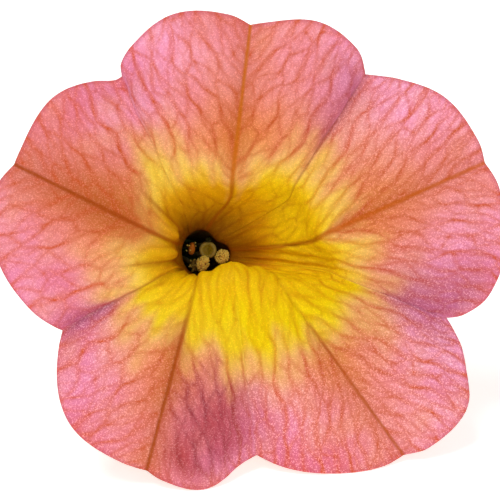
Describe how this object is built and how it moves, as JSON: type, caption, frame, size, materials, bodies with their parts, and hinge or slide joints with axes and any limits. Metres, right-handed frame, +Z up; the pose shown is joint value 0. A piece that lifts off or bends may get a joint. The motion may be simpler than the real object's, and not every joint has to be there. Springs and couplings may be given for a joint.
{
  "type": "calibrachoa bloom",
  "caption": "Picked trumpet-shaped bloom with fused, notched lobes round a narrow throat, its tube held in a slender green calyx on a short cut pedicel, lying on the rims of its lower lobes.",
  "frame": {"origin": "centre of the footprint, on the surface that the bloom lies on", "axes": "+Z up, the throat faces -Y and up, the pedicel points to +Y"},
  "size_m": [0.0352, 0.0364, 0.0286],
  "materials": {
    "petal": "soft satin petal, pink with orange-red veins and a yellow throat",
    "calyx": "finely hairy green sepal",
    "pedicel": "finely hairy green stalk with a paler cut end",
    "stamen": "pale filament, anther dusted with cream pollen",
    "pistil": "moist olive green stigma on a pale style"
  },
  "bodies": {
    "root": {"corolla": "petal", "calyx": "calyx", "pedicel": "pedicel", "stamen_1": "stamen", "stamen_2": "stamen", "stamen_3": "stamen", "stamen_4": "stamen", "stamen_5": "stamen", "pistil": "pistil"}
  },
  "joints": []
}
